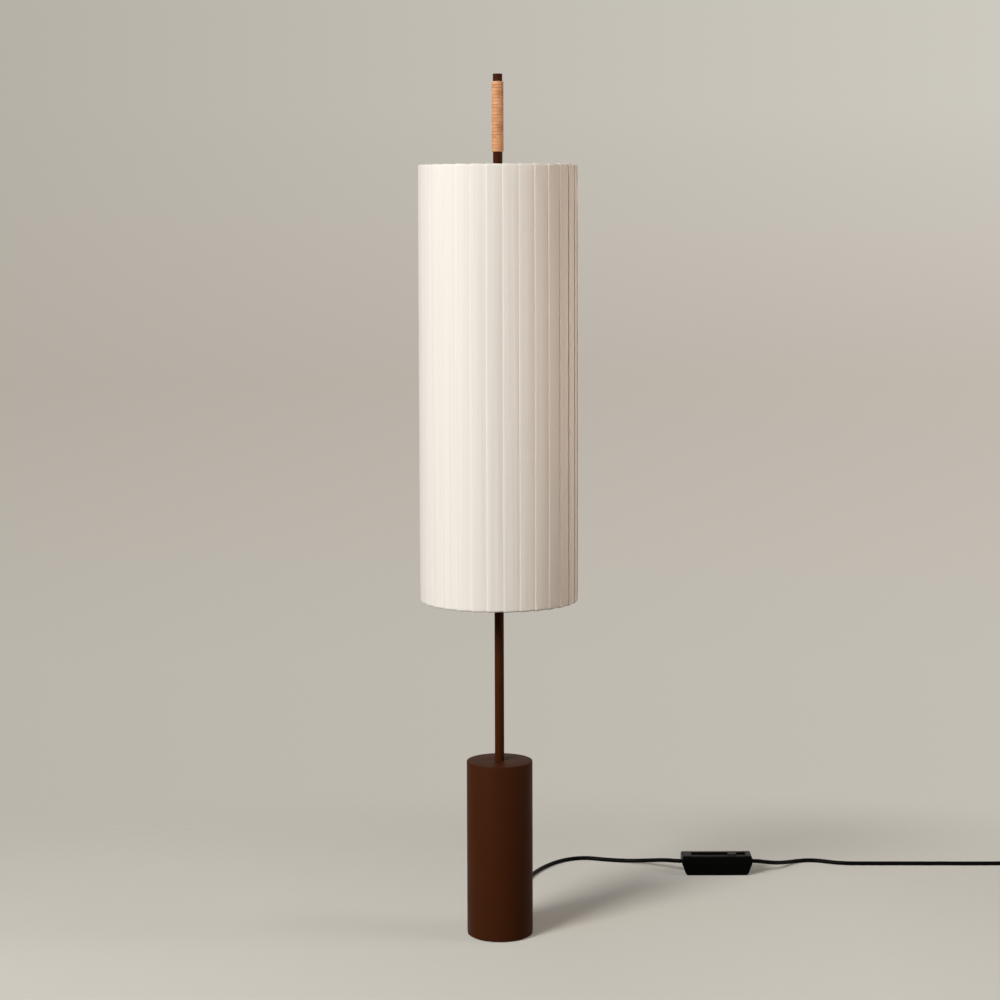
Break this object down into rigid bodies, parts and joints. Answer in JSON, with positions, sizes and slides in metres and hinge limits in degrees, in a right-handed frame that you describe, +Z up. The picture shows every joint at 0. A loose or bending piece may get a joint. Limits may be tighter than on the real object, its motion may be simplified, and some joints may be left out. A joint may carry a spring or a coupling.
{
  "type": "floor lamp",
  "caption": "Floor lamp: a weighted cylinder base and slim stem carry a tall ribbon shade that turns, with a wound leather grip on top and a slide dimmer in its lead.",
  "frame": {"origin": "centre of the base's underside, where it rests on the floor", "axes": "+Z up along the stem, the pictured front faces -Y, and the lead leaves the base towards +Y"},
  "size_m": [1.0325, 0.5024, 1.2],
  "materials": {
    "powder_brown": "satin powder coat",
    "foot_rubber": "matt",
    "plate_steel": "primed steel plate",
    "fastener_steel": "zinc plated",
    "ballast_iron": "raw casting",
    "gland_nylon": "moulded nylon",
    "relief_rubber": "moulded",
    "grip_leather": "natural leather strip",
    "frame_enamel": "white enamel",
    "washer_nylon": "nylon",
    "shade_fabric": "woven cotton ribbon",
    "holder_plastic": "moulded",
    "contact_brass": "plain",
    "cap_aluminium": "rolled thread",
    "opal_glass": "opal",
    "lead_sheath": "satin sheath",
    "wire_sleeve": "silicone sleeve",
    "dimmer_plastic": "moulded",
    "knob_plastic": "moulded",
    "circuit_board": "board and slide potentiometer",
    "tie_strap": "strap",
    "plug_plastic": "moulded",
    "pin_nickel": "nickel plated"
  },
  "bodies": {
    "lamp": {"foot_pad": "foot_rubber", "base_plate": "plate_steel", "plate_screws": "fastener_steel", "ballast_weight": "ballast_iron", "base_casing": "powder_brown", "cord_gland": "gland_nylon", "strain_relief": "relief_rubber", "stem_washer": "fastener_steel", "stem_locknut": "fastener_steel", "stem_tube": "powder_brown", "handle_stud": "fastener_steel", "handle_rod": "powder_brown", "grip_wrap": "grip_leather", "end_cap": "powder_brown", "grub_screws": "fastener_steel", "shade_collar": "fastener_steel", "shade_washer": "washer_nylon", "lower_bracket": "frame_enamel", "upper_bracket": "frame_enamel", "lower_lampholder": "holder_plastic", "upper_lampholder": "holder_plastic", "lower_contacts": "contact_brass", "upper_contacts": "contact_brass", "lower_bulb_cap": "cap_aluminium", "upper_bulb_cap": "cap_aluminium", "lower_bulb": "opal_glass", "upper_bulb": "opal_glass", "inner_lead": "lead_sheath", "lower_wires": "wire_sleeve", "upper_wires": "wire_sleeve", "cord_to_dimmer": "lead_sheath", "dimmer_base": "dimmer_plastic", "dimmer_cover": "dimmer_plastic", "dimmer_circuit": "circuit_board", "dimmer_leads": "lead_sheath", "dimmer_clamps": "fastener_steel", "dimmer_screws": "fastener_steel", "cord_to_coil": "lead_sheath", "cord_coil": "lead_sheath", "coil_tie": "tie_strap", "cord_tail": "lead_sheath", "plug_relief": "relief_rubber", "plug_body": "plug_plastic", "plug_pins": "pin_nickel"},
    "shade": {"bottom_spider": "frame_enamel", "bottom_ring": "frame_enamel", "frame_rods": "frame_enamel", "top_ring": "frame_enamel", "top_spider": "frame_enamel", "shade_ribbons": "shade_fabric"},
    "dimmer_slider": {"dimmer_knob": "knob_plastic"}
  },
  "joints": [
    {"name": "shade_turn", "type": "hinge", "parent": "lamp", "child": "shade", "pos_m": [0, 0, 0.4965], "axis": [0, 0, 1], "continuous": true},
    {"name": "dimmer_slide", "type": "slide", "parent": "lamp", "child": "dimmer_slider", "axis": [1, 0, 0], "range_m": [-0.0485, 0.0015]}
  ]
}
